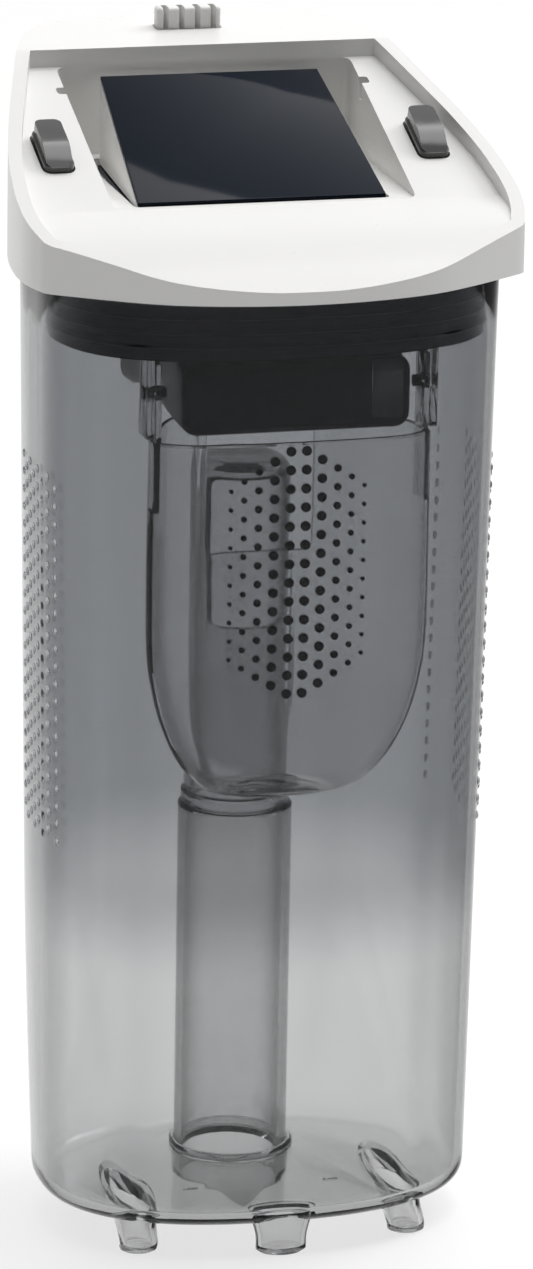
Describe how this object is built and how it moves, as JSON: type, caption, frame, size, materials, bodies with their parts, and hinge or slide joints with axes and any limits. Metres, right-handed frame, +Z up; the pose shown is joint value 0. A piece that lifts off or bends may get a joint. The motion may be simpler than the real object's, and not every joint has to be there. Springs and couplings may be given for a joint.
{
  "type": "floor washer waste water tank",
  "caption": "Smoky clear waste water tank with a riser pipe, a white push-button lid, a sloping filter panel and a hanging strainer.",
  "frame": {"origin": "on the surface the tank stands on, under the middle of its bounding box", "axes": "+X to the right, seen from the front, +Y to the back, +Z up"},
  "size_m": [0.1284, 0.138, 0.301],
  "materials": {
    "smoky_clear": "smoky clear plastic, glossy",
    "white": "white, satin gloss",
    "black": "blue-black, satin",
    "dark_grey": "dark grey, glossy",
    "dark_panel": "blue-black, high gloss",
    "rubber": "matt",
    "filter_paper": "pleated paper, matt",
    "foam": "pale closed-cell foam",
    "steel": "spring and screw steel"
  },
  "bodies": {
    "tank": {"tank_body": "smoky_clear", "riser_pipe": "smoky_clear", "joint_seal": "smoky_clear"},
    "lid": {"lid_shell": "white", "lid_base": "black", "lid_seal": "rubber", "float_chamber": "black", "chamber_window": "smoky_clear", "strainer_cup": "smoky_clear", "strainer_screen": "smoky_clear", "upper_pipe": "smoky_clear", "cup_hanger_left": "smoky_clear", "cup_hanger_right": "smoky_clear", "cup_pin_left": "black", "cup_pin_right": "black", "screw_1": "steel", "screw_2": "steel", "screw_3": "steel", "screw_4": "steel", "tab_spring": "steel", "button_spring_left": "steel", "button_spring_right": "steel"},
    "filter": {"filter_frame": "white", "filter_panel": "dark_panel", "filter_media": "filter_paper", "filter_seal": "rubber"},
    "button_left": {"button_left": "dark_grey"},
    "button_right": {"button_right": "dark_grey"},
    "latch_left": {"latch_left": "black"},
    "latch_right": {"latch_right": "black"},
    "release_tab": {"release_tab": "white"},
    "float": {"float_block": "foam"}
  },
  "joints": [
    {"name": "lid_lift", "type": "slide", "parent": "tank", "child": "lid", "axis": [0, 0, 1], "range_m": [0, 0.15]},
    {"name": "filter_lift", "type": "slide", "parent": "lid", "child": "filter", "axis": [0, 0, 1], "range_m": [0, 0.05]},
    {"name": "button_left_press", "type": "slide", "parent": "lid", "child": "button_left", "axis": [0, 0.3278, -0.9447], "range_m": [0, 0.003], "stiffness_N_per_m": 400, "springref_m": -0.002, "deforming": ["button_spring_left"]},
    {"name": "button_right_press", "type": "slide", "parent": "lid", "child": "button_right", "axis": [0, 0.3278, -0.9447], "range_m": [0, 0.003], "stiffness_N_per_m": 400, "springref_m": -0.002, "deforming": ["button_spring_right"]},
    {"name": "latch_left_slide", "type": "slide", "parent": "lid", "child": "latch_left", "axis": [1, 0, 0], "range_m": [0, 0.0021]},
    {"name": "latch_right_slide", "type": "slide", "parent": "lid", "child": "latch_right", "axis": [-1, 0, 0], "range_m": [0, 0.0021]},
    {"name": "tab_press", "type": "slide", "parent": "lid", "child": "release_tab", "axis": [0, 0, -1], "range_m": [0, 0.004], "stiffness_N_per_m": 300, "springref_m": -0.002, "deforming": ["tab_spring"]},
    {"name": "float_rise", "type": "slide", "parent": "lid", "child": "float", "axis": [0, 0, 1], "range_m": [0, 0.017]}
  ],
  "couplings": [
    {"joint": "latch_left_slide", "follows": "button_left_press", "ratio": 0.66},
    {"joint": "latch_right_slide", "follows": "button_right_press", "ratio": 0.66}
  ]
}
